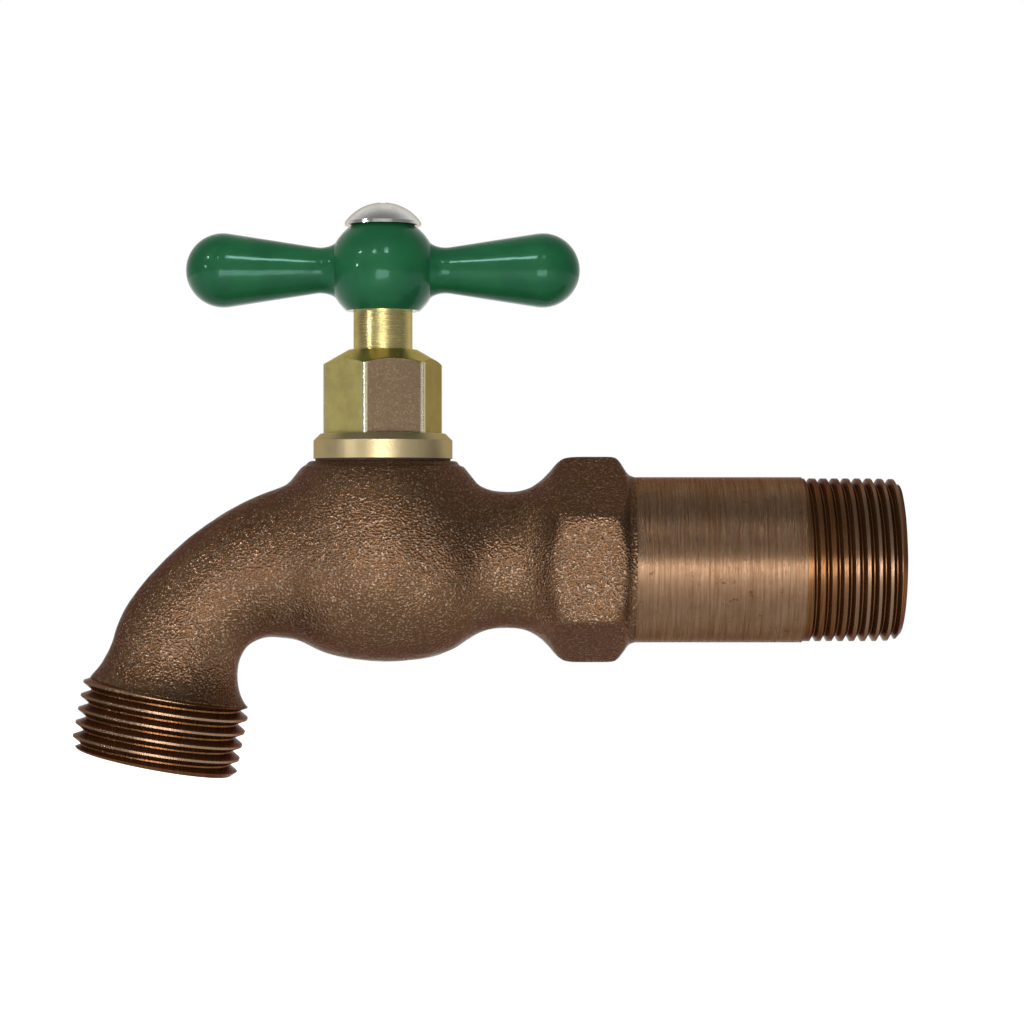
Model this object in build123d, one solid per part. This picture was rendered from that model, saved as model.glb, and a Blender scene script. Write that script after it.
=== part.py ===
from build123d import *
import math
import os

# Hose bibb with a tee handle. Millimetres.
# The pieces are drawn about the stem: Z up the stem, X along the run, +X towards the supply.
# They are moved at the end, so that the origin is the centre of the inlet's end.

# Run of the body, along X from the stem
run_depth = 16.4
globe_depth = 15.5
globe_radius = 17.4
globe_middle = 1.2
run_heel_x = -10.5
run_heel_radius = 14.5
run_shoulder_x = 11.5
run_shoulder_radius = 14.35
run_neck_x = 20.6
run_neck_radius = 10.9
hex_across_flats = 29.4
hex_start = 29.2
hex_end = 37.3
hex_foot = 40.5
hex_edge_radius = 0.8
hex_turn = 5.0
shank_radius = 13.335
shank_length = 26.8
inlet_thread_length = 15.7
inlet_thread_step = 0.2

# Taper pipe thread of the inlet, fourteen turns to the inch, taper one in sixteen
inlet_pitch = 1.814
inlet_small_radius = 13.0
inlet_thread_depth = 1.05
inlet_crest = 0.46
inlet_root = 0.16
inlet_taper = 1.7899

# Neck of the body, along Z
neck_top = 15.9
neck_radius = 12.1
neck_land = 0.8
neck_flare = 0.8

# Spout: a bend about a pivot below it, then a straight outlet
pivot_x = -17.7
pivot_z = -18.4
outlet_tilt = 11.2
outlet_neck_length = 6.4

# Hose thread, eleven and a half turns to the inch
hose_pitch = 2.209
hose_radius = 13.495
hose_thread_depth = 1.43
hose_thread_length = 11.2
hose_crest = 0.34
hose_root = 0.24
end_chamfer = 0.9

# Waterway
inlet_bore_radius = 9.0
inlet_bore_end = 17.2
spout_wall = 2.8
mouth_radius = 9.2
mouth_depth = 7.0
mouth_step = 1.5
chamber_radius = 14.0

# Seat
seat_z = -3.0
seat_height = 1.2
seat_rim_radius = 7.5
seat_bore_radius = 6.35
seat_floor = 2.3
under_seat_height = 6.8

# Thread between the bonnet and the body, sixteen turns to the inch
bonnet_pitch = 1.5875
bonnet_thread_radius = 9.5
bonnet_thread_depth = 0.85
bonnet_crest = 0.3
bonnet_root = 0.3
bonnet_skirt = 5.4
bonnet_relief = 1.3
undercut = 0.2

# Bonnet
gasket_thickness = 0.4
gasket_radius = 10.9
flange_radius = 11.2
flange_height = 4.0
flange_chamfer = 1.1
bonnet_across_flats = 17.0
bonnet_turn = -15.5
bonnet_hex_height = 13.5
bonnet_edge_radius = 0.3
bonnet_top_radius = 5.6
bonnet_top_slope = 30.0

# Thread of the stem, ten turns to the inch
stem_pitch = 2.54
stem_thread_radius = 6.35
stem_thread_depth = 1.3
stem_crest = 0.95
stem_root = 0.85
stem_thread_length = 15.0
nut_thread_length = 7.5
turns_to_open = 2.25
thread_clearance = 0.15

# Stem
stem_radius = 4.75
stem_foot_radius = 4.9
stem_foot_length = 0.9
drive_start = 42.0
drive_across_flats = 6.8
drive_length = 9.2
drive_fit = 0.05
running_clearance = 0.05
face_gap = 0.1

# Seals
o_ring_section = 0.89
o_ring_groove_width = 2.3
upper_o_ring_depth = 2.9
o_ring_spacing = 3.2
thrust_thickness = 0.8
thrust_radius = 6.2
relief_radius = 6.9

# Disc holder and seat washer
washer_radius = 7.6
washer_thickness = 3.5
washer_fit = 0.06
holder_radius = 8.35
holder_plate = 2.1
holder_lip = 1.7
spindle_radius = 2.9
spindle_length = 6.6
retainer_wire = 0.4
retainer_height = 4.2
retainer_gap = 50.0

# Screw of the seat washer
washer_screw_radius = 2.0
washer_screw_length = 7.0
washer_screw_head_radius = 3.7
washer_screw_head_height = 1.7
slot_width = 0.9
slot_depth = 0.8
screw_fit = 0.05

# Handle
handle_z = 46.65
ball_radius = 8.85
ball_top = 53.9
ball_bottom = 40.1
handle_span = 63.5
arm_end_radius = 6.0
arm_neck_radius = 3.75
arm_neck_x = 10.8
arm_root_radius = 4.9
arm_root_x = 7.2

# Handle screw
handle_screw_radius = 2.4
handle_screw_length = 9.0
handle_screw_head_radius = 6.15
handle_screw_head_height = 3.7
handle_screw_edge = 0.5
recess_length = 5.0
recess_depth = 1.6

# Places that follow from the sizes
inlet_end = hex_foot + shank_length + inlet_thread_length
bonnet_base = neck_top + gasket_thickness
flange_top = bonnet_base + flange_height
bonnet_top = flange_top + bonnet_hex_height
skirt_end = bonnet_base - bonnet_skirt
lift = stem_pitch * turns_to_open
washer_top = seat_z + washer_thickness
holder_top = washer_top + holder_plate
stem_foot = holder_top + face_gap
stem_thread_start = stem_foot + stem_foot_length
stem_shoulder = stem_thread_start + stem_thread_length
relief_top = stem_shoulder + thrust_thickness + lift + 2 * face_gap
upper_o_ring_z = bonnet_top - upper_o_ring_depth
lower_o_ring_z = upper_o_ring_z - o_ring_spacing
stem_root_radius = stem_thread_radius - stem_thread_depth
chamber_floor = seat_z - seat_height
under_seat_top = chamber_floor - seat_floor

# Sections of the spout about its pivot: angle, distance of the centre, outer radius
spout_sections = [
    (90, 17.85, 11.85),
    (110, 16.45, 10.35),
    (130, 15.8, 9.7),
    (150, 15.9, 9.9),
    (180 - outlet_tilt, 16.2, 10.2),
]


def turned(points):
    """A solid turned about Z from an outline of (radius, height) points."""
    outline = Polyline([(r, 0, z) for r, z in points], close=True)
    return revolve(make_face(outline), axis=Axis.Z)


def rod(radius, low, high):
    """A round bar about Z between two heights."""
    return Pos(0, 0, low) * Cylinder(radius, high - low, align=(Align.CENTER, Align.CENTER, Align.MIN))


def flat_ring(outer, inner, low, high):
    """A flat ring about Z."""
    return rod(outer, low, high) - rod(inner, low - 1, high + 1)


def round_ring(radius, section, height):
    """A ring of round section about Z."""
    return Pos(0, 0, height) * Torus(radius, section)


def hexagon_bar(across_flats, low, high):
    """A six-sided bar about Z, with a corner on the X axis."""
    outline = RegularPolygon(across_flats / 2, 6, major_radius=False)
    return Pos(0, 0, low) * extrude(outline, high - low)


def along_x(shape):
    """Turns a shape that is drawn about Z, so that its Z runs along +X and its X down."""
    return Rot(0, 90, 0) * shape


def thread_cutter(place, pitch, length, root_radius, root_width, open_radius, open_width, taper=0):
    """The helical bars that cut a thread's groove, one for each turn, about Z from height 0 up."""
    bars = []
    for turn in range(math.ceil(length / pitch)):
        growth = turn * pitch * math.tan(math.radians(taper))
        path = Helix(pitch, pitch, root_radius + growth, cone_angle=taper)
        corners = [
            (root_radius + growth, 0, -root_width / 2),
            (open_radius + growth, 0, -open_width / 2),
            (open_radius + growth, 0, open_width / 2),
            (root_radius + growth, 0, root_width / 2),
        ]
        bar = sweep(make_face(Polyline(corners, close=True)), path=path, is_frenet=True)
        bars.append(place * Pos(0, 0, turn * pitch) * bar)
    return bars


def male_cutter(place, pitch, length, crest_radius, depth, crest, root, taper=0):
    """Cutter for a male thread, which leaves a crest of the given width."""
    flank = (pitch - crest - root) / 2 / depth
    proud = min(0.3, 0.4 * crest / flank)
    open_width = pitch - crest + 2 * flank * proud
    inner, outer = crest_radius - depth, crest_radius + proud
    return thread_cutter(place, pitch, length, inner, root, outer, open_width, taper)


def female_cutter(place, pitch, length, crest_radius, depth, crest, root):
    """Cutter for the nut of that male thread, wider all round by the thread clearance."""
    proud = 0.05
    flank = (pitch - crest - root) / 2 / depth
    deep = crest_radius + thread_clearance
    open_radius = crest_radius - depth + thread_clearance - proud
    open_width = crest + 2 * flank * (deep - open_radius)
    extra = thread_clearance
    return thread_cutter(place, pitch, length, deep, crest + extra, open_radius, open_width + extra)


def spout_plane(angle, distance):
    """The plane across the spout at an angle about the pivot, facing the way the water goes."""
    across = math.radians(angle)
    centre = (pivot_x + distance * math.cos(across), 0, pivot_z + distance * math.sin(across))
    return Plane(origin=centre, x_dir=(0, 1, 0), z_dir=(-math.sin(across), 0, math.cos(across)))


def outlet_place():
    """The place of the outlet: its Z runs down the outlet from the end of the bend."""
    angle, distance, radius = spout_sections[-1]
    return spout_plane(angle, distance).location


def run_barrel():
    """Outside of the run from the spout to the hexagon, turned about X."""
    radius = spout_sections[0][2] - 0.7
    top = Spline(
        (radius, pivot_x),
        (run_heel_radius, run_heel_x),
        (run_depth, 0),
        (run_shoulder_radius, run_shoulder_x),
        (run_neck_radius, run_neck_x),
        tangents=[(0.3, 1), (0, 1)],
    )
    rest = Polyline((run_neck_radius, run_neck_x), (0, run_neck_x), (0, pivot_x), (radius, pivot_x))
    return along_x(revolve(Plane.XZ * make_face(top + rest), axis=Axis.Z))


def globe():
    """The globe below the neck, turned about Z, with the neck's turned land on top."""
    low = -globe_depth
    bowl = Spline(
        (0, low),
        (0.74 * globe_radius, 0.64 * low),
        (globe_radius, globe_middle),
        tangents=[(1, 0), (0, 1)],
    )
    shoulder = Spline(
        (globe_radius, globe_middle),
        (neck_radius + neck_flare, neck_top - neck_land),
        tangents=[(0, 1), (-1, 1)],
    )
    rim = Polyline(
        (neck_radius + neck_flare, neck_top - neck_land),
        (neck_radius, neck_top - neck_land),
        (neck_radius, neck_top),
        (0, neck_top),
        (0, low),
    )
    face = Plane.XZ * make_face(bowl + shoulder + rim)
    return revolve(face, axis=Axis.Z)


def inlet_hexagon():
    """The cast hexagon for the wrench, with round corners, blended into the run."""
    corner = hex_across_flats / 2 / math.cos(math.radians(30)) + 0.2
    flank = Spline(
        (run_neck_radius, run_neck_x),
        (run_neck_radius + 0.65, run_neck_x + 3.1),
        (run_neck_radius + 2.6, run_neck_x + 5.7),
        (corner, hex_start),
        tangents=[(0, 1), (1.2, 1)],
    )
    rest = Polyline(
        (corner, hex_start),
        (corner, hex_end),
        (shank_radius + 0.3, hex_foot - 1),
        (shank_radius, hex_foot),
        (0, hex_foot),
        (0, run_neck_x),
        (run_neck_radius, run_neck_x),
    )
    turned_form = revolve(Plane.XZ * make_face(flank + rest), axis=Axis.Z)
    bar = Rot(0, 0, hex_turn) * hexagon_bar(hex_across_flats, run_neck_x, hex_foot)
    bar = fillet(bar.edges().filter_by(Axis.Z), hex_edge_radius)
    return along_x(turned_form & bar)


def shank():
    """The turned shank and the cone that the pipe thread is cut in."""
    thread_start = inlet_end - inlet_thread_length
    blank_radius = shank_radius - inlet_thread_step
    cone_length = (blank_radius - inlet_small_radius) / math.tan(math.radians(inlet_taper))
    form = turned(
        [
            (0, hex_end),
            (shank_radius, hex_end),
            (shank_radius, thread_start),
            (blank_radius, thread_start),
            (blank_radius, inlet_end - cone_length),
            (inlet_small_radius, inlet_end),
            (0, inlet_end),
        ]
    )
    form = chamfer(form.edges().group_by(Axis.Z)[-1], end_chamfer)
    turns = math.ceil(inlet_thread_length / inlet_pitch) + 1
    overrun = turns * inlet_pitch - inlet_thread_length
    start_radius = inlet_small_radius - overrun * math.tan(math.radians(inlet_taper))
    cutter = male_cutter(
        Pos(0, 0, inlet_end + overrun) * Rot(180, 0, 0),
        inlet_pitch,
        (turns - 0.01) * inlet_pitch,
        start_radius,
        inlet_thread_depth,
        inlet_crest,
        inlet_root,
        inlet_taper,
    )
    return along_x(form - cutter)


def spout():
    """The bent spout: round sections about the pivot."""
    first = Plane(origin=(pivot_x + 6, 0, -0.4), x_dir=(0, 1, 0), z_dir=(-1, 0, 0))
    sections = [first * Circle(spout_sections[0][2] + 0.7)]
    sections += [spout_plane(angle, distance) * Circle(radius) for angle, distance, radius in spout_sections]
    return loft(sections)


def outlet():
    """The straight outlet with its flare, collar and hose thread, in its own place."""
    bend_radius = spout_sections[-1][2]
    end = outlet_neck_length + hose_thread_length
    flare = Spline(
        (bend_radius, 0),
        (bend_radius + 0.35, 1.6),
        (bend_radius + 1.1, 4.0),
        (hose_radius, outlet_neck_length),
        tangents=[(0, 1), (1, 0.6)],
    )
    rest = Polyline(
        (hose_radius, outlet_neck_length),
        (hose_radius, end - end_chamfer),
        (hose_radius - end_chamfer, end),
        (0, end),
        (0, 0),
        (bend_radius, 0),
    )
    form = revolve(Plane.XZ * make_face(flare + rest), axis=Axis.Z)
    overrun = hose_pitch
    cutter = male_cutter(
        Pos(0, 0, outlet_neck_length - overrun),
        hose_pitch,
        hose_thread_length + 2 * overrun,
        hose_radius,
        hose_thread_depth,
        hose_crest,
        hose_root,
    )
    return outlet_place() * (form - cutter)


def spout_passage():
    """The waterway from the chamber down the spout to its mouth."""
    first = Plane(origin=(-10, 0, 0.8), x_dir=(0, 1, 0), z_dir=(-1, 0, 0))
    sections = [first * Circle(6.6)]
    for angle, distance, radius in spout_sections:
        sections.append(spout_plane(angle, distance) * Circle(radius - spout_wall))
    bend = loft(sections)
    bore = spout_sections[-1][2] - spout_wall
    end = outlet_neck_length + hose_thread_length
    mouth = turned(
        [
            (0, 0),
            (bore, 0),
            (bore, end - mouth_depth - mouth_step),
            (mouth_radius, end - mouth_depth),
            (mouth_radius, end + 1),
            (0, end + 1),
        ]
    )
    return bend + outlet_place() * mouth


def chamber():
    """The chamber over the seat, with the seat's rim left standing in it."""
    floor = chamber_floor
    wall = Spline(
        (seat_rim_radius + 2.2, floor),
        (chamber_radius, 2.4),
        (bonnet_thread_radius + 0.2, skirt_end - 0.8),
        tangents=[(1, 0.6), (-1, 0.6)],
    )
    rest = Polyline(
        (bonnet_thread_radius + 0.2, skirt_end - 0.8),
        (0, skirt_end - 0.8),
        (0, floor),
        (seat_rim_radius + 2.2, floor),
    )
    room = revolve(Plane.XZ * make_face(wall + rest), axis=Axis.Z)
    return room - rod(seat_rim_radius, floor - 1, seat_z)


def under_seat():
    """The way from the inlet bore down and up through the seat."""
    middle = under_seat_top - under_seat_height / 2
    sections = []
    for x, z, wide, high in [
        (inlet_bore_end + 1, -3.2, 7.6, 4.8),
        (12.4, -7.5, 7.4, 3.1),
        (6.5, middle, 7.2, under_seat_height / 2 - 0.2),
        (-6.2, middle, 5.6, under_seat_height / 2 - 0.2),
    ]:
        across = Plane(origin=(x, 0, z), x_dir=(0, 1, 0), z_dir=(-1, 0, 0))
        sections.append(across * Ellipse(wide, high))
    return loft(sections) + rod(seat_bore_radius, middle, seat_z + 1)


def neck_thread():
    """The threaded bore of the neck."""
    minor = bonnet_thread_radius - bonnet_thread_depth + thread_clearance
    bore = rod(minor, skirt_end - 1, neck_top + 1)
    length = neck_top + bonnet_pitch - thread_start(bonnet_pitch)
    cutter = female_cutter(
        Pos(0, 0, thread_start(bonnet_pitch)),
        bonnet_pitch,
        length,
        bonnet_thread_radius,
        bonnet_thread_depth,
        bonnet_crest,
        bonnet_root,
    )
    return [bore, *cutter]


def thread_start(pitch):
    """Height below the bonnet's skirt where the threads about it begin."""
    return skirt_end - 1.5 * pitch


def make_body():
    form = globe() + run_barrel() + inlet_hexagon() + spout() + outlet() + shank()
    inlet_bore = along_x(rod(inlet_bore_radius, inlet_bore_end, inlet_end + 1))
    form = form - chamber() - under_seat() - spout_passage() - inlet_bore
    return form - neck_thread()


def make_bonnet_gasket():
    return flat_ring(gasket_radius, bonnet_thread_radius + 0.1, neck_top, bonnet_base)


def bonnet_cap():
    """The hexagon of the bonnet, with its top turned to a cone."""
    corner = bonnet_across_flats / 2 / math.cos(math.radians(30)) + 0.5
    fall = (corner - bonnet_top_radius) * math.tan(math.radians(bonnet_top_slope))
    cone = turned(
        [
            (0, flange_top - 1),
            (corner, flange_top - 1),
            (corner, bonnet_top - fall),
            (bonnet_top_radius, bonnet_top),
            (0, bonnet_top),
        ]
    )
    bar = hexagon_bar(bonnet_across_flats, flange_top - 1, bonnet_top)
    bar = fillet(bar.edges().filter_by(Axis.Z), bonnet_edge_radius)
    return cone & (Rot(0, 0, bonnet_turn - 90) * bar)


def bonnet_flange():
    """The round flange, and the relief between it and the threaded skirt."""
    root = bonnet_thread_radius - bonnet_thread_depth - undercut
    return turned(
        [
            (0, bonnet_base - bonnet_relief),
            (root, bonnet_base - bonnet_relief),
            (root, bonnet_base),
            (flange_radius, bonnet_base),
            (flange_radius, flange_top - flange_chamfer),
            (flange_radius - flange_chamfer, flange_top),
            (0, flange_top),
        ]
    )


def bonnet_skirt_form():
    """The skirt that screws into the neck of the body."""
    root = bonnet_thread_radius - bonnet_thread_depth - undercut
    form = turned(
        [
            (0, skirt_end),
            (root, skirt_end),
            (bonnet_thread_radius, skirt_end + bonnet_thread_radius - root),
            (bonnet_thread_radius, bonnet_base - bonnet_relief),
            (0, bonnet_base - bonnet_relief),
        ]
    )
    cutter = male_cutter(
        Pos(0, 0, thread_start(bonnet_pitch) - bonnet_pitch / 2),
        bonnet_pitch,
        bonnet_base + bonnet_pitch - thread_start(bonnet_pitch),
        bonnet_thread_radius,
        bonnet_thread_depth,
        bonnet_crest,
        bonnet_root,
    )
    return form - cutter


def make_bonnet():
    form = bonnet_skirt_form() + bonnet_flange() + bonnet_cap()
    nut_end = skirt_end + nut_thread_length
    form -= rod(stem_root_radius + thread_clearance, skirt_end - 1, nut_end)
    form -= rod(relief_radius, nut_end, relief_top)
    form -= rod(stem_radius + running_clearance, relief_top - 1, bonnet_top + 1)
    nut_cutter = female_cutter(
        Pos(0, 0, thread_start(stem_pitch)),
        stem_pitch,
        nut_end + stem_pitch / 2 - thread_start(stem_pitch),
        stem_thread_radius,
        stem_thread_depth,
        stem_crest,
        stem_root,
    )
    form -= nut_cutter
    groove_radius = stem_radius + 2 * running_clearance + 2 * o_ring_section
    for height in (lower_o_ring_z, upper_o_ring_z):
        form -= rod(groove_radius, height - o_ring_groove_width / 2, height + o_ring_groove_width / 2)
    return form


def make_o_ring(height):
    return round_ring(stem_radius + running_clearance + o_ring_section, o_ring_section, height)


def make_stem():
    spindle_room = rod(spindle_radius + running_clearance, stem_foot - 1, holder_top + spindle_length + 0.4)
    retainer_z = holder_top + retainer_height
    groove = rod(
        spindle_radius + retainer_wire + 2 * running_clearance,
        retainer_z - retainer_wire - running_clearance,
        retainer_z + retainer_wire + running_clearance,
    )
    form = turned(
        [
            (0, stem_foot),
            (stem_foot_radius, stem_foot),
            (stem_foot_radius, stem_thread_start),
            (stem_thread_radius, stem_thread_start + stem_thread_depth),
            (stem_thread_radius, stem_shoulder),
            (stem_radius, stem_shoulder),
            (stem_radius, drive_start),
            (0, drive_start),
        ]
    )
    turns_below = math.ceil((thread_start(stem_pitch) - stem_thread_start) / stem_pitch) + 1
    cutter_start = thread_start(stem_pitch) - (turns_below + 0.5) * stem_pitch
    cutter = male_cutter(
        Pos(0, 0, cutter_start),
        stem_pitch,
        stem_shoulder + stem_pitch - cutter_start,
        stem_thread_radius,
        stem_thread_depth,
        stem_crest,
        stem_root,
    )
    form -= cutter
    drive = Pos(0, 0, drive_start - 1) * extrude(
        Rectangle(drive_across_flats, drive_across_flats), drive_length + 1
    )
    form += drive & rod(stem_radius - 0.3, drive_start - 2, drive_start + drive_length)
    tapped = rod(handle_screw_radius + screw_fit, ball_top - handle_screw_length - 0.6, ball_top)
    return form - spindle_room - groove - tapped


def make_thrust_washer():
    low = stem_shoulder + face_gap / 2
    return flat_ring(thrust_radius, stem_radius + running_clearance, low, low + thrust_thickness)


def make_disc_holder():
    form = rod(holder_radius, washer_top, holder_top)
    form += flat_ring(holder_radius, washer_radius + washer_fit, washer_top - holder_lip, washer_top)
    form += rod(spindle_radius, holder_top, holder_top + spindle_length)
    retainer_z = holder_top + retainer_height
    form -= flat_ring(
        spindle_radius + 1,
        spindle_radius - retainer_wire,
        retainer_z - retainer_wire - running_clearance,
        retainer_z + retainer_wire + running_clearance,
    )
    tapped = seat_z + washer_screw_length + 0.4
    return form - rod(washer_screw_radius + screw_fit, washer_top - 1, tapped)


def make_retaining_ring():
    wire = Pos(spindle_radius + running_clearance, 0, 0) * (Plane.XZ * Circle(retainer_wire))
    ring = revolve(wire, axis=Axis.Z, revolution_arc=360 - retainer_gap)
    return Pos(0, 0, holder_top + retainer_height) * ring


def make_seat_washer():
    return flat_ring(washer_radius, washer_screw_radius + screw_fit, seat_z, washer_top)


def make_washer_screw():
    low = seat_z - washer_screw_head_height
    head = rod(washer_screw_head_radius, low, seat_z)
    head = fillet(head.edges().group_by(Axis.Z)[0], 0.5)
    shank_part = rod(washer_screw_radius, seat_z, seat_z + washer_screw_length)
    slot = Pos(0, 0, low) * Box(
        3 * washer_screw_head_radius, slot_width, slot_depth, align=(Align.CENTER, Align.CENTER, Align.MIN)
    )
    return head + shank_part - slot


def handle_arm():
    """One arm of the handle, turned about X: a waist next to the ball, then a swelling club end."""
    end_x = handle_span / 2 - arm_end_radius
    length = end_x - arm_neck_x
    slope = math.asin(arm_end_radius / math.hypot(arm_neck_radius, length)) - math.atan2(arm_neck_radius, length)
    touch_x = end_x - arm_end_radius * math.sin(slope)
    touch_r = arm_end_radius * math.cos(slope)
    waist = Spline(
        (arm_root_radius, arm_root_x),
        (arm_neck_radius, arm_neck_x),
        tangents=[(-1, 0.7), (math.tan(slope), 1)],
    )
    cone = Line((arm_neck_radius, arm_neck_x), (touch_r, touch_x))
    club = ThreePointArc(
        (touch_r, touch_x),
        (arm_end_radius * math.cos(math.pi / 4), end_x + arm_end_radius * math.sin(math.pi / 4)),
        (0, handle_span / 2),
    )
    rest = Polyline((0, handle_span / 2), (0, arm_root_x), (arm_root_radius, arm_root_x))
    face = Plane.XZ * make_face(waist + cone + club + rest)
    return along_x(revolve(face, axis=Axis.Z))


def make_tee_handle():
    ball = Sphere(ball_radius) & rod(ball_radius, ball_bottom - handle_z, ball_top - handle_z)
    arm = handle_arm()
    form = Pos(0, 0, handle_z) * (ball + arm + Rot(0, 0, 180) * arm)
    socket = rod(stem_radius + drive_fit, ball_bottom - 1, drive_start + face_gap)
    square_side = drive_across_flats + 2 * drive_fit
    square = Pos(0, 0, drive_start) * extrude(Rectangle(square_side, square_side), drive_length + 0.3)
    through = rod(handle_screw_radius + screw_fit, drive_start, ball_top + 1)
    return form - socket - square - through


def make_handle_screw():
    shank_part = rod(handle_screw_radius, ball_top - handle_screw_length, ball_top)
    edge = ball_top + handle_screw_edge
    top = ball_top + handle_screw_head_height
    rise = top - edge
    dome_radius = (handle_screw_head_radius**2 + rise**2) / 2 / rise
    dome = Pos(0, 0, top - dome_radius) * Sphere(dome_radius)
    head = dome & rod(handle_screw_head_radius, ball_top, top)
    half = recess_length / 2
    blade = Box(recess_length, slot_width, recess_depth, align=(Align.CENTER, Align.CENTER, Align.MAX))
    cross = Pos(0, 0, top) * (blade + Rot(0, 0, 90) * blade)
    cross = cross & turned([(0, top - recess_depth), (half, top), (0, top)])
    return head + shank_part - cross


pieces = {
    "body": make_body(),
    "bonnet": make_bonnet(),
    "bonnet_gasket": make_bonnet_gasket(),
    "stem": make_stem(),
    "lower_stem_o_ring": make_o_ring(lower_o_ring_z),
    "upper_stem_o_ring": make_o_ring(upper_o_ring_z),
    "stem_thrust_washer": make_thrust_washer(),
    "disc_holder": make_disc_holder(),
    "holder_retaining_ring": make_retaining_ring(),
    "seat_washer": make_seat_washer(),
    "seat_washer_screw": make_washer_screw(),
    "tee_handle": make_tee_handle(),
    "handle_screw": make_handle_screw(),
}

os.makedirs("parts", exist_ok=True)
for name, piece in pieces.items():
    export_step(Pos(-inlet_end, 0, 0) * piece, f"parts/{name}.step")
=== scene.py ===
import math

import bmesh
import bpy
import numpy as np
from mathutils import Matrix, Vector, noise

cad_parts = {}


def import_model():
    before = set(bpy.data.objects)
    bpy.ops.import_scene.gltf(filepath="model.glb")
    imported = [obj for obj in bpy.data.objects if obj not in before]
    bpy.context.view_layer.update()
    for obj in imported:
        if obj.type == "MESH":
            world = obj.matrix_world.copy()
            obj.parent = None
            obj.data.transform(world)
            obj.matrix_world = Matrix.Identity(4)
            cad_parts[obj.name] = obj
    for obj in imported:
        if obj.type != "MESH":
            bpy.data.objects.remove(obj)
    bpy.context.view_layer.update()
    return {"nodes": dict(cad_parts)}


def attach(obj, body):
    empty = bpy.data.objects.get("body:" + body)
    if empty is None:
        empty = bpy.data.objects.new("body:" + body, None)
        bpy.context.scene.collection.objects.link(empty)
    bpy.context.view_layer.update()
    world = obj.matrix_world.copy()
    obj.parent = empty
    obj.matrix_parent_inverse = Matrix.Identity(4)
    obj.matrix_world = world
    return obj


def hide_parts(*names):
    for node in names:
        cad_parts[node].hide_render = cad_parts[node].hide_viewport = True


# Hose bibb with a tee handle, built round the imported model. Metres, the stem's axis at x = STEM_X.

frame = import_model()

MM = 0.001
STEM_X = -0.083
SCENE = bpy.context.scene

# Where the casting's skin ends and the turned parts begin, in millimetres

HEX_FOOT_X = -42.5
INLET_THREAD_X = -15.7
OUTLET_START = (-116.592, 0, -15.253)
OUTLET_AXIS = (-0.19423, 0, -0.98096)
HOSE_START = 6.0
HOSE_RADIUS = 13.495

# The shank lies before the first of these and the hose end beyond the second: they share a finish

HOSE_LOOKS_X = (-60, -80)

# The crest of the pipe thread: its radius at x = 0, and its growth for each millimetre to the hexagon

PIPE_RADIUS = 13.0
PIPE_TAPER = 0.03125

# The bonnet's hexagon: half its width across flats, the foot of its faces, and the way the face that is
# painted darker as shade looks

BONNET_FLAT = 8.5
FLANGE_TOP = 20.3
SHADED_FACE = math.radians(-75.5)


# Meshes

SHARP_ANGLE = math.radians(35)


def copied(node):
    """A free copy of a CAD node's surface, with the points that share a place joined."""
    mesh = bmesh.new()
    mesh.from_mesh(frame["nodes"][node].data)
    bmesh.ops.remove_doubles(mesh, verts=mesh.verts, dist=0.0001 * MM)
    return mesh


def keep_behind(mesh, point, normal):
    """Cuts a closed mesh at a plane, keeps what lies against the normal and closes the cut."""
    everything = mesh.verts[:] + mesh.edges[:] + mesh.faces[:]
    bmesh.ops.bisect_plane(
        mesh, geom=everything, dist=0.00001 * MM, plane_co=point, plane_no=normal, clear_outer=True
    )
    rim = [edge for edge in mesh.edges if edge.is_boundary]
    bmesh.ops.triangle_fill(mesh, edges=rim, use_beauty=True)
    bmesh.ops.recalc_face_normals(mesh, faces=mesh.faces)


def new_object(name, mesh):
    """An object from a bmesh, smooth shaded."""
    data = bpy.data.meshes.new(name)
    mesh.to_mesh(data)
    mesh.free()
    data.polygons.foreach_set("use_smooth", [True] * len(data.polygons))
    obj = bpy.data.objects.new(name, data)
    SCENE.collection.objects.link(obj)
    return obj


def crisp(mesh):
    """Marks the edges that stay sharp."""
    for edge in mesh.edges:
        edge.smooth = len(edge.link_faces) == 2 and edge.calc_face_angle(0) < SHARP_ANGLE


def remeshed(source, voxel):
    """The object's surface as an even net of small faces."""
    modifier = source.modifiers.new("net", "REMESH")
    modifier.mode = "VOXEL"
    modifier.voxel_size = voxel * MM
    bpy.context.view_layer.update()
    data = bpy.data.meshes.new_from_object(source.evaluated_get(bpy.context.evaluated_depsgraph_get()))
    mesh = bmesh.new()
    mesh.from_mesh(data)
    bpy.data.objects.remove(source)
    return mesh


def relax(points, edges, share, rounds):
    """Moves each point towards the middle of its neighbours, by its share, the given number of times."""
    ends = np.concatenate([edges[:, 0], edges[:, 1]])
    others = np.concatenate([edges[:, 1], edges[:, 0]])
    count = np.bincount(ends, minlength=len(points))
    for _ in range(rounds):
        for axis in range(3):
            column = points[:, axis]
            middle = np.bincount(ends, weights=column[others], minlength=len(points)) / count
            column += share * (middle - column)


def ramp(value, low, high):
    """0 below low and 1 above high, with a soft change between, also for high below low."""
    t = np.clip((value - low) / (high - low), 0, 1)
    return t * t * (3 - 2 * t)


# Node graphs

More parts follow.
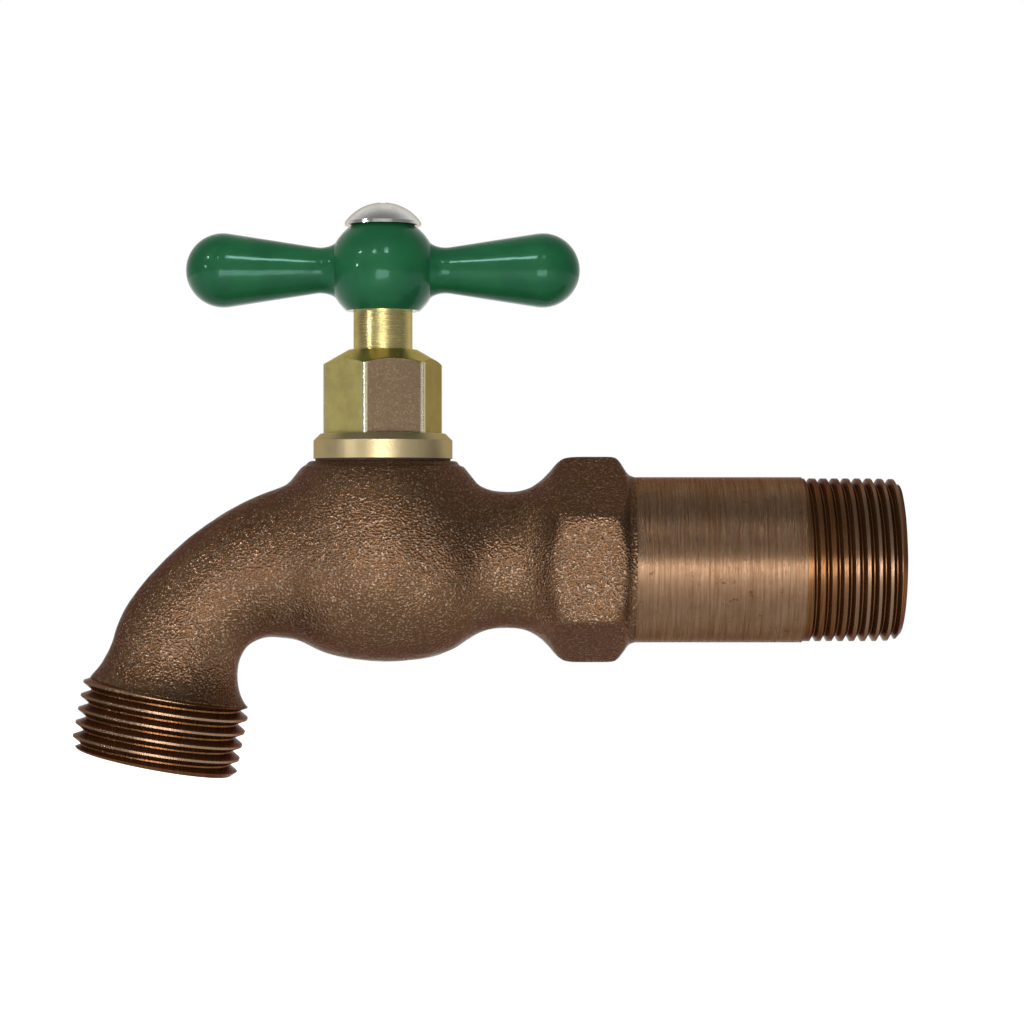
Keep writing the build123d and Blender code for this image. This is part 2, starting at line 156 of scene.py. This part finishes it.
class Graph:
    """A material's node tree, with short calls for the nodes it is made of."""

    def __init__(self, name):
        self.material = bpy.data.materials.new(name)
        self.material.use_nodes = True
        self.tree = self.material.node_tree
        self.tree.nodes.clear()

    def put(self, socket, value):
        """Links a socket or sets a constant."""
        if isinstance(value, bpy.types.NodeSocket):
            self.tree.links.new(value, socket)
        elif socket.type == "RGBA" and len(value) == 3:
            socket.default_value = (*value, 1)
        else:
            socket.default_value = value

    def add(self, kind, inputs=None, **settings):
        """A new node with its inputs and settings."""
        node = self.tree.nodes.new(kind)
        for key, value in settings.items():
            setattr(node, key, value)
        for key, value in (inputs or {}).items():
            self.put(node.inputs[key], value)
        return node

    def math(self, operation, a, b=0.0):
        """Works out one or two numbers."""
        return self.add("ShaderNodeMath", {0: a, 1: b}, operation=operation).outputs[0]

    def vector(self, operation, a, b=(0, 0, 0)):
        """Works out one or two vectors, to a number for a dot product or a length."""
        node = self.add("ShaderNodeVectorMath", {0: a, 1: b}, operation=operation)
        return node.outputs["Value" if operation in ("DOT_PRODUCT", "LENGTH") else "Vector"]

    def place(self, scale=(1, 1, 1), move=(0, 0, 0), turn=(0, 0, 0)):
        """Object coordinates in millimetres, moved, turned and scaled."""
        where = self.add("ShaderNodeTexCoord").outputs["Object"]
        mm = self.vector("MULTIPLY", where, (1000, 1000, 1000))
        node = self.add(
            "ShaderNodeMapping",
            {"Vector": mm, "Location": move, "Rotation": turn, "Scale": scale},
        )
        return node.outputs[0]

    def coordinate(self, vector, letter):
        """One coordinate of a vector."""
        return self.add("ShaderNodeSeparateXYZ", {0: vector}).outputs[letter]

    def noise(self, vector, scale, detail, rough):
        """A noise from 0 to 1."""
        node = self.add(
            "ShaderNodeTexNoise",
            {"Vector": vector, "Scale": scale, "Detail": detail, "Roughness": rough},
        )
        return node.outputs[0]

    def between(self, value, low, high, to_low=0.0, to_high=1.0):
        """Maps a range of the value to another range, with soft ends, clamped."""
        node = self.add(
            "ShaderNodeMapRange",
            {"Value": value, "From Min": low, "From Max": high, "To Min": to_low, "To Max": to_high},
            interpolation_type="SMOOTHSTEP",
        )
        return node.outputs[0]

    def mix(self, factor, a, b):
        """Mixes two colours, or two numbers where the first is a socket."""
        number = isinstance(a, bpy.types.NodeSocket) and a.type == "VALUE"
        kind = "VALUE" if number else "RGBA"
        node = self.add("ShaderNodeMix", data_type="FLOAT" if number else "RGBA")
        sockets = [s for s in node.inputs if s.type == kind and s.name in ("A", "B")]
        self.put(node.inputs[0], factor)
        self.put(sockets[0], a)
        self.put(sockets[1], b)
        return [s for s in node.outputs if s.type == kind][0]

    def bump(self, height, distance, strength=1.0):
        """A bump whose height is in millimetres times the distance."""
        inputs = {"Height": height, "Distance": distance * MM, "Strength": strength}
        return self.add("ShaderNodeBump", inputs).outputs[0]

    def finish(self, **inputs):
        """Ends the graph with a Principled shader and gives the material."""
        shader = self.add("ShaderNodeBsdfPrincipled")
        for key, value in inputs.items():
            self.put(shader.inputs[key.replace("_", " ")], value)
        output = self.add("ShaderNodeOutputMaterial")
        self.tree.links.new(shader.outputs[0], output.inputs[0])
        return self.material


# Finishes of the casting

BRONZE_EDGE = (0.33, 0.25, 0.18)


def cast_skin():
    """Sand-cast bronze, dark brown, with rounded grains that catch the light."""
    g = Graph("cast_bronze_skin")
    p = g.place()
    waves = g.noise(p, 0.16, 3, 0.55)
    grains = g.noise(p, 2.8, 1.5, 0.5)
    tone = g.mix(g.between(grains, 0.5, 0.75), (0.115, 0.06, 0.03), (0.27, 0.21, 0.16))
    tone = g.mix(g.between(waves, 0.35, 0.7, 0.0, 0.3), tone, (0.13, 0.07, 0.036))
    return g.finish(
        Base_Color=tone,
        Metallic=0.85,
        Roughness=g.between(grains, 0.4, 0.7, 0.22, 0.16),
        Specular_Tint=BRONZE_EDGE,
        Normal=g.bump(grains, 0.27),
    )


def turned_bronze():
    """The shank with its turning marks, and the two dark threads with crests painted lighter: partly wear,
    partly a painted highlight.
    """
    g = Graph("turned_bronze")
    p = g.place()
    x = g.coordinate(p, "X")
    rings = g.noise(g.place((1, 0.03, 0.03), turn=(0, 0, 0.03)), 2.1, 6, 0.75)
    fine_rings = g.noise(g.place((1, 0.012, 0.012), (3, 0, 0)), 8.0, 3, 0.7)
    marks = g.math("ADD", g.math("MULTIPLY", rings, 0.6), g.math("MULTIPLY", fine_rings, 0.4))
    blotch = g.noise(p, 0.3, 4, 0.6)
    inlet = g.between(x, INLET_THREAD_X - 0.3, INLET_THREAD_X + 0.3)
    from_outlet = g.vector("SUBTRACT", p, OUTLET_START)
    along = g.vector("DOT_PRODUCT", from_outlet, OUTLET_AXIS)
    hose = g.between(x, *HOSE_LOOKS_X)
    reach = g.vector("LENGTH", from_outlet)
    off_axis = g.math("SQRT", g.math("SUBTRACT", g.math("POWER", reach, 2.0), g.math("POWER", along, 2.0)))
    crest_wear_and_highlight = g.math("MULTIPLY", hose, g.between(off_axis, HOSE_RADIUS - 0.35, HOSE_RADIUS - 0.05))
    from_pipe_axis = g.vector("LENGTH", g.vector("MULTIPLY", p, (0, 1, 1)))
    pipe_radius = g.math("ADD", from_pipe_axis, g.math("MULTIPLY", x, PIPE_TAPER))
    pipe_crest_wear_and_highlight = g.math("MULTIPLY", inlet, g.between(pipe_radius, PIPE_RADIUS - 0.25, PIPE_RADIUS))
    crest_wear_and_highlight = g.math("MAXIMUM", crest_wear_and_highlight, pipe_crest_wear_and_highlight)
    thread = g.math("MAXIMUM", inlet, hose)

    shank_tone = g.mix(g.between(marks, 0.36, 0.64), (0.155, 0.078, 0.036), (0.26, 0.165, 0.105))
    shank_tone = g.mix(g.between(blotch, 0.4, 0.75, 0.0, 0.4), shank_tone, (0.14, 0.072, 0.036))
    specks = g.between(g.noise(g.place((0.7, 1, 1)), 0.9, 3, 0.7), 0.64, 0.7, 0.0, 0.7)
    shank_tone = g.mix(specks, shank_tone, (0.06, 0.026, 0.012))
    thread_tone = g.mix(g.between(fine_rings, 0.35, 0.65), (0.1, 0.038, 0.012), (0.17, 0.08, 0.034))
    # Partly wear, partly a painted highlight: the thread crests take a paler bronze colour
    thread_tone = g.mix(g.math("MULTIPLY", crest_wear_and_highlight, 0.4), thread_tone, (0.33, 0.24, 0.175))
    return g.finish(
        Base_Color=g.mix(thread, shank_tone, thread_tone),
        Metallic=0.85,
        Roughness=g.between(marks, 0.35, 0.65, 0.3, 0.23),
        Specular_Tint=BRONZE_EDGE,
        Normal=g.bump(marks, 0.22, g.math("SUBTRACT", 1.0, g.math("MULTIPLY", thread, 0.6))),
    )


# Finishes of the other pieces

BRASS_EDGE = (0.6, 0.5, 0.35)


def turning_lines(g, across, along, scale):
    """Fine lines round the stem's axis: a noise drawn out across it."""
    centred = g.place((across, across, along), (-STEM_X / MM * across, 0, 0))
    return g.noise(centred, scale, 4, 0.7)


def brass(name, base, deep, rough):
    """Turned brass."""
    g = Graph(name)
    lines = turning_lines(g, 0.05, 1, 7.0)
    stain = g.noise(g.place(), 0.35, 3, 0.6)
    return g.finish(
        Base_Color=g.mix(g.between(stain, 0.35, 0.68), base, deep),
        Metallic=1.0,
        Roughness=g.between(lines, 0.3, 1.2, rough, rough + 0.14),
        Specular_Tint=BRASS_EDGE,
        Normal=g.bump(g.math("MULTIPLY", lines, 0.4), 0.05, 0.6),
    )


def bonnet_brass():
    """Milled brass bar: granular, with painted shade on the front face and, less, on the face beside it; the
    edges of the hexagon painted bright, partly wear and partly a painted highlight.
    """
    g = Graph("bonnet_brass")
    p = g.place(move=(-STEM_X / MM, 0, 0))
    z = g.coordinate(p, "Z")
    from_axis = g.vector("LENGTH", g.vector("MULTIPLY", p, (1, 1, 0)))
    on_shaded_face = 0.0
    # Painted shade: the front face and, at a smaller share, the face beside it are painted darker, as light
    # falls on them
    for angle, share in ((SHADED_FACE, 1.0), (SHADED_FACE + math.radians(60), 0.6)):
        out = g.vector("DOT_PRODUCT", p, (math.cos(angle), math.sin(angle), 0))
        near = g.between(out, BONNET_FLAT - 0.3, BONNET_FLAT - 0.1, 0.0, share)
        on_shaded_face = g.math("MAXIMUM", on_shaded_face, near)
    on_hexagon = g.between(z, FLANGE_TOP - 0.1, FLANGE_TOP + 0.1)
    corner = BONNET_FLAT / math.cos(math.pi / 6)
    # The corners of the hexagon painted bright: partly wear, partly a painted highlight
    wear_and_highlight = g.math("MULTIPLY", g.between(from_axis, corner - 0.35, corner - 0.12), on_hexagon)
    grain = g.noise(p, 3.0, 3, 0.6)
    stain = g.noise(p, 0.3, 3, 0.6)
    lines = turning_lines(g, 0.08, 1.2, 4.0)
    shaded_hexagon = g.math("MULTIPLY", on_shaded_face, on_hexagon)
    painted_shade = g.math("MULTIPLY", shaded_hexagon, g.between(grain, 0.5, 0.7, 0.98, 0.84))
    tone = g.mix(g.between(stain, 0.35, 0.68), (0.58, 0.51, 0.18), (0.5, 0.41, 0.16))
    tone = g.mix(on_hexagon, (0.45, 0.36, 0.2), tone)
    # Painted shade: the shaded faces take a dark brown, broken by the grain
    tone = g.mix(painted_shade, tone, (0.16, 0.107, 0.069))
    # Wear and painted highlight: the corners take a pale brass colour
    tone = g.mix(wear_and_highlight, tone, (0.8, 0.74, 0.52))
    height = g.math("ADD", g.math("MULTIPLY", lines, 0.4), g.math("MULTIPLY", grain, 0.8))
    rough = g.mix(wear_and_highlight, g.between(grain, 0.35, 0.65, 0.32, 0.42), 0.22)
    return g.finish(
        Base_Color=tone,
        Metallic=1.0,
        Roughness=rough,
        Specular_Tint=BRASS_EDGE,
        Normal=g.bump(height, 0.04, 0.6),
    )


def green_enamel():
    """Thick dark green enamel, a little wavy, with a slight orange-peel surface."""
    g = Graph("green_enamel")
    p = g.place()
    waves = g.noise(p, 0.16, 2, 0.5)
    peel = g.noise(p, 0.9, 2, 0.5)
    height = g.math("ADD", waves, g.math("MULTIPLY", peel, 0.1))
    return g.finish(
        Base_Color=g.mix(g.between(waves, 0.35, 0.65), (0.006, 0.062, 0.024), (0.008, 0.076, 0.027)),
        Roughness=g.between(peel, 0.3, 0.7, 0.08, 0.12),
        Specular_IOR_Level=0.12,
        Specular_Tint=(0.45, 0.95, 0.85),
        Coat_Weight=0.15,
        Coat_Roughness=0.4,
        Normal=g.bump(height, 0.25, 0.5),
    )


def nickel():
    """Bright nickel plate with a light haze."""
    g = Graph("nickel_plate")
    haze = g.noise(g.place(), 0.45, 3, 0.6)
    return g.finish(
        Base_Color=g.mix(g.between(haze, 0.35, 0.65), (0.93, 0.93, 0.9), (0.84, 0.83, 0.79)),
        Metallic=1.0,
        Roughness=g.between(haze, 0.3, 0.7, 0.1, 0.18),
        Specular_Tint=(0.5, 0.45, 0.4),
        Normal=g.bump(haze, 0.06, 0.5),
    )


def plain(name, low, high, rough, scale=1.5, metallic=0.0, depth=0.05):
    """A quiet finish for the small pieces inside."""
    g = Graph(name)
    grain = g.noise(g.place(), scale, 3, 0.6)
    return g.finish(
        Base_Color=g.mix(g.between(grain, 0.35, 0.65), low, high),
        Metallic=metallic,
        Roughness=g.between(grain, 0.3, 0.7, rough, rough + 0.12),
        Normal=g.bump(grain, depth, 0.6),
    )


def dress(obj, material):
    """Gives an object one material in place of any that it had."""
    obj.data.materials.clear()
    obj.data.materials.append(material)


# The casting: its skin flows together as cast metal does, and its turned ends stay crisp

# The net's cell in millimetres, the rounds of smoothing, and how far each round pulls a point

SKIN_VOXEL = 0.455
SKIN_ROUNDS = 38
SKIN_PULL = 0.5

# The skin's unevenness as heights in millimetres, each with its scale, and what the smoothing took off

UNEVENNESS = ((0.07, 0.22), (0.05, 0.6))
REGAINED = 0.05

# Places that flow less, in millimetres: the inlet hexagon, which grows firm by the given share between
# two values of x, the neck's top between two values of z, and the bore under it down to its foot

HEX_FIRM_X = (-57, -51)
HEX_FIRM_SHARE = 0.72
NECK_TOP_Z = (13.6, 14.8)
NECK_REACH = 14
BORE_REACH = 10.9
BORE_FOOT_Z = -8

# The planes beyond which the body stays as it was turned, each as a point and a normal

SHANK_PLANE = ((HEX_FOOT_X * MM, 0, 0), (1, 0, 0))
HOSE_PLANE = ((Vector(OUTLET_START) + HOSE_START * Vector(OUTLET_AXIS)) * MM, OUTLET_AXIS)


def skin_shares(p):
    """How far each point of the skin takes part in the smoothing: not at all at the machined places."""
    x, z = p[:, 0], p[:, 2]
    from_stem = np.hypot(x - STEM_X / MM, p[:, 1])
    along = (p - np.array(OUTLET_START)) @ np.array(OUTLET_AXIS)
    share = 1 - HEX_FIRM_SHARE * ramp(x, *HEX_FIRM_X)
    share *= ramp(x, HEX_FOOT_X - 0.2, HEX_FOOT_X - 2.5)
    share *= ramp(along, HOSE_START - 0.1, HOSE_START - 1.6)
    share *= 1 - ramp(z, *NECK_TOP_Z) * (from_stem < NECK_REACH)
    share *= 1 - (from_stem < BORE_REACH) * (z > BORE_FOOT_Z)
    return share


def casting_skin():
    """The body's surface, relaxed and made slightly uneven, between the two planes."""
    mesh = remeshed(new_object("net", copied("body")), SKIN_VOXEL)
    points = np.array([v.co for v in mesh.verts]) / MM
    edges = np.array([[v.index for v in e.verts] for e in mesh.edges])
    share = skin_shares(points)
    relax(points, edges, SKIN_PULL * share, SKIN_ROUNDS)
    for vertex, point in zip(mesh.verts, points):
        vertex.co = point * MM
    mesh.normal_update()
    for vertex, part in zip(mesh.verts, share):
        place = vertex.co / MM
        height = sum(amount * noise.noise(place * scale) for amount, scale in UNEVENNESS)
        vertex.co += vertex.normal * (height + REGAINED) * part * MM
    keep_behind(mesh, *SHANK_PLANE)
    keep_behind(mesh, *HOSE_PLANE)
    return new_object("body_casting", mesh)


def turned_end(name, point, normal):
    """The part of the body that lies beyond a plane, as it was turned."""
    mesh = copied("body")
    keep_behind(mesh, point, [-c for c in normal])
    crisp(mesh)
    return new_object(name, mesh)


def body():
    """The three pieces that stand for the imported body."""
    skin = casting_skin()
    dress(skin, cast_skin())
    finish = turned_bronze()
    shank = turned_end("body_shank", *SHANK_PLANE)
    hose_end = turned_end("body_hose_end", *HOSE_PLANE)
    dress(shank, finish)
    dress(hose_end, finish)
    for piece in (skin, shank, hose_end):
        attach(piece, "casing")
        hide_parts("body")


body()

inner_finish = brass("inner_brass", (0.62, 0.5, 0.26), (0.5, 0.39, 0.2), 0.25)
rubber = plain("black_rubber", (0.012, 0.012, 0.012), (0.02, 0.02, 0.02), 0.45)

for node, material in {
    "bonnet": bonnet_brass(),
    "bonnet_gasket": plain("red_fibre", (0.035, 0.015, 0.01), (0.06, 0.026, 0.016), 0.7, 3.0),
    "stem": brass("stem_brass", (0.6, 0.5, 0.21), (0.5, 0.4, 0.17), 0.24),
    "lower_stem_o_ring": rubber,
    "upper_stem_o_ring": rubber,
    "stem_thrust_washer": plain("white_plastic", (0.72, 0.7, 0.65), (0.8, 0.78, 0.74), 0.4),
    "disc_holder": inner_finish,
    "holder_retaining_ring": plain("spring_steel", (0.4, 0.4, 0.4), (0.5, 0.5, 0.5), 0.25, 3.0, 1.0),
    "seat_washer": plain("seat_rubber", (0.018, 0.018, 0.018), (0.03, 0.03, 0.03), 0.6, 2.0, 0.0, 0.1),
    "seat_washer_screw": inner_finish,
    "tee_handle": green_enamel(),
    "handle_screw": nickel(),
}.items():
    dress(frame["nodes"][node], material)


# Floor, light and camera

FLOOR_Z = -0.25
FLOOR_REACH = 3.0

# The floor glows weakly near its middle and as plain white further off: distances in millimetres

GLOW_NEAR, GLOW_FAR = 100, 700
GLOW_LEAST = 0.2

# The world's strength for plain surfaces, and for metal at the front of its room, from where it grows
# to full white between two values of the direction's Y

PLAIN_WORLD = 0.6
ROOM_FRONT = 0.19
ROOM_Y = (-0.15, 0.98)


def floor():
    """A white floor that shows the shadow near the object and is plain white further off."""
    near, far = -FLOOR_REACH, FLOOR_REACH
    corners = [(near, near, 0), (far, near, 0), (far, far, 0), (near, far, 0)]
    mesh = bpy.data.meshes.new("floor")
    mesh.from_pydata(corners, [], [(0, 1, 2, 3)])
    obj = bpy.data.objects.new("floor", mesh)
    obj.location = (STEM_X, 0, FLOOR_Z)
    SCENE.collection.objects.link(obj)
    g = Graph("floor_white")
    grain = g.noise(g.place(), 0.05, 2, 0.5)
    white = g.mix(grain, (0.78, 0.78, 0.78), (0.8, 0.8, 0.8))
    paint = g.add("ShaderNodeBsdfDiffuse", {"Color": white})
    path = g.add("ShaderNodeLightPath")
    mirrored = g.math("MAXIMUM", path.outputs["Is Glossy Ray"], path.outputs["Is Transmission Ray"])
    seen = g.math("MAXIMUM", path.outputs["Is Camera Ray"], mirrored)
    away = g.vector("LENGTH", g.place())
    whiter = g.between(away, GLOW_NEAR, GLOW_FAR, GLOW_LEAST, 1.0)
    glow = g.add("ShaderNodeEmission", {"Strength": g.math("MULTIPLY", seen, whiter)})
    total = g.add("ShaderNodeAddShader", {0: paint.outputs[0], 1: glow.outputs[0]})
    g.add("ShaderNodeOutputMaterial", {"Surface": total.outputs[0]})
    mesh.materials.append(g.material)


def softbox(name, place, target, width, height, power, spread=180):
    """A plain white lamp of the given width, height and power, which shines within the given angle."""
    light = bpy.data.lights.new(name, "AREA")
    light.shape = "RECTANGLE"
    light.size, light.size_y = width, height
    light.energy = power
    light.spread = math.radians(spread)
    obj = bpy.data.objects.new(name, light)
    obj.location = place
    obj.rotation_euler = (Vector(target) - Vector(place)).to_track_quat("-Z", "Y").to_euler()
    SCENE.collection.objects.link(obj)


def world():
    """White where the camera or glass sees it, dimmer for plain surfaces.

    Metal sees a white backdrop and a dim room in front.
    """
    w = bpy.data.worlds.new("studio")
    w.use_nodes = True
    tree = w.node_tree
    tree.nodes.clear()
    path = tree.nodes.new("ShaderNodeLightPath")

    def spread(value, low, high, to_low, to_high):
        node = tree.nodes.new("ShaderNodeMapRange")
        node.interpolation_type = "SMOOTHSTEP"
        tree.links.new(value, node.inputs["Value"])
        for key, number in {"From Min": low, "From Max": high, "To Min": to_low, "To Max": to_high}.items():
            node.inputs[key].default_value = number
        return node

    def larger(a, b):
        node = tree.nodes.new("ShaderNodeMath")
        node.operation = "MAXIMUM"
        tree.links.new(a, node.inputs[0])
        tree.links.new(b, node.inputs[1])
        return node.outputs[0]

    where = tree.nodes.new("ShaderNodeSeparateXYZ")
    tree.links.new(tree.nodes.new("ShaderNodeTexCoord").outputs["Generated"], where.inputs[0])
    room = spread(where.outputs["Y"], *ROOM_Y, ROOM_FRONT, 1.0)
    seen = larger(path.outputs["Is Camera Ray"], path.outputs["Is Transmission Ray"])
    plain_room = spread(seen, 0, 1, PLAIN_WORLD, 1.0)
    strength = spread(path.outputs["Is Glossy Ray"], 0, 1, 0, 1)
    tree.links.new(plain_room.outputs[0], strength.inputs["To Min"])
    tree.links.new(room.outputs[0], strength.inputs["To Max"])
    background = tree.nodes.new("ShaderNodeBackground")
    tree.links.new(strength.outputs[0], background.inputs["Strength"])
    background.inputs["Color"].default_value = (1, 1, 1, 1)
    output = tree.nodes.new("ShaderNodeOutputWorld")
    tree.links.new(background.outputs[0], output.inputs[0])
    SCENE.world = w


def camera():
    """The photograph's frame: 1024 pixels square, 6.2 pixels to the millimetre at the stem's axis."""
    pixels, pixels_per_mm = 1024, 6.2
    distance = 0.45
    middle_x, middle_z = -0.0622, 0.0077
    data = bpy.data.cameras.new("camera")
    data.sensor_width = 36
    data.lens = pixels_per_mm * distance / MM / pixels * data.sensor_width
    data.clip_start, data.clip_end = 0.01, 20
    obj = bpy.data.objects.new("camera", data)
    obj.location = (middle_x, -distance, middle_z)
    obj.rotation_euler = (math.pi / 2, 0, 0)
    SCENE.collection.objects.link(obj)
    SCENE.camera = obj


floor()
target = (-0.07, 0, 0.005)
handle = (STEM_X, 0, 0.047)
softbox("front", (-0.07, -0.78, -0.1275), target, 0.36, 0.24, 3.2)
softbox("fill", (-0.07, -1.1, 0.25), target, 1.2, 1.0, 0.8)
softbox("left_arm_strip", (-0.041, -0.25, 0.245), (-0.105, 0, 0.052), 0.045, 0.05, 0.005, 24)
softbox("right_arm_strip", (-0.1545, -0.25, 0.245), (-0.061, 0, 0.052), 0.045, 0.05, 0.0025, 16)
softbox("glint_high", (-0.55, -0.36, 0.41), handle, 0.07, 0.035, 0.9)
softbox("glint_low", (-0.63, -0.42, 0.13), handle, 0.035, 0.035, 0.5)
world()
camera()
SCENE.view_settings.view_transform = "Standard"
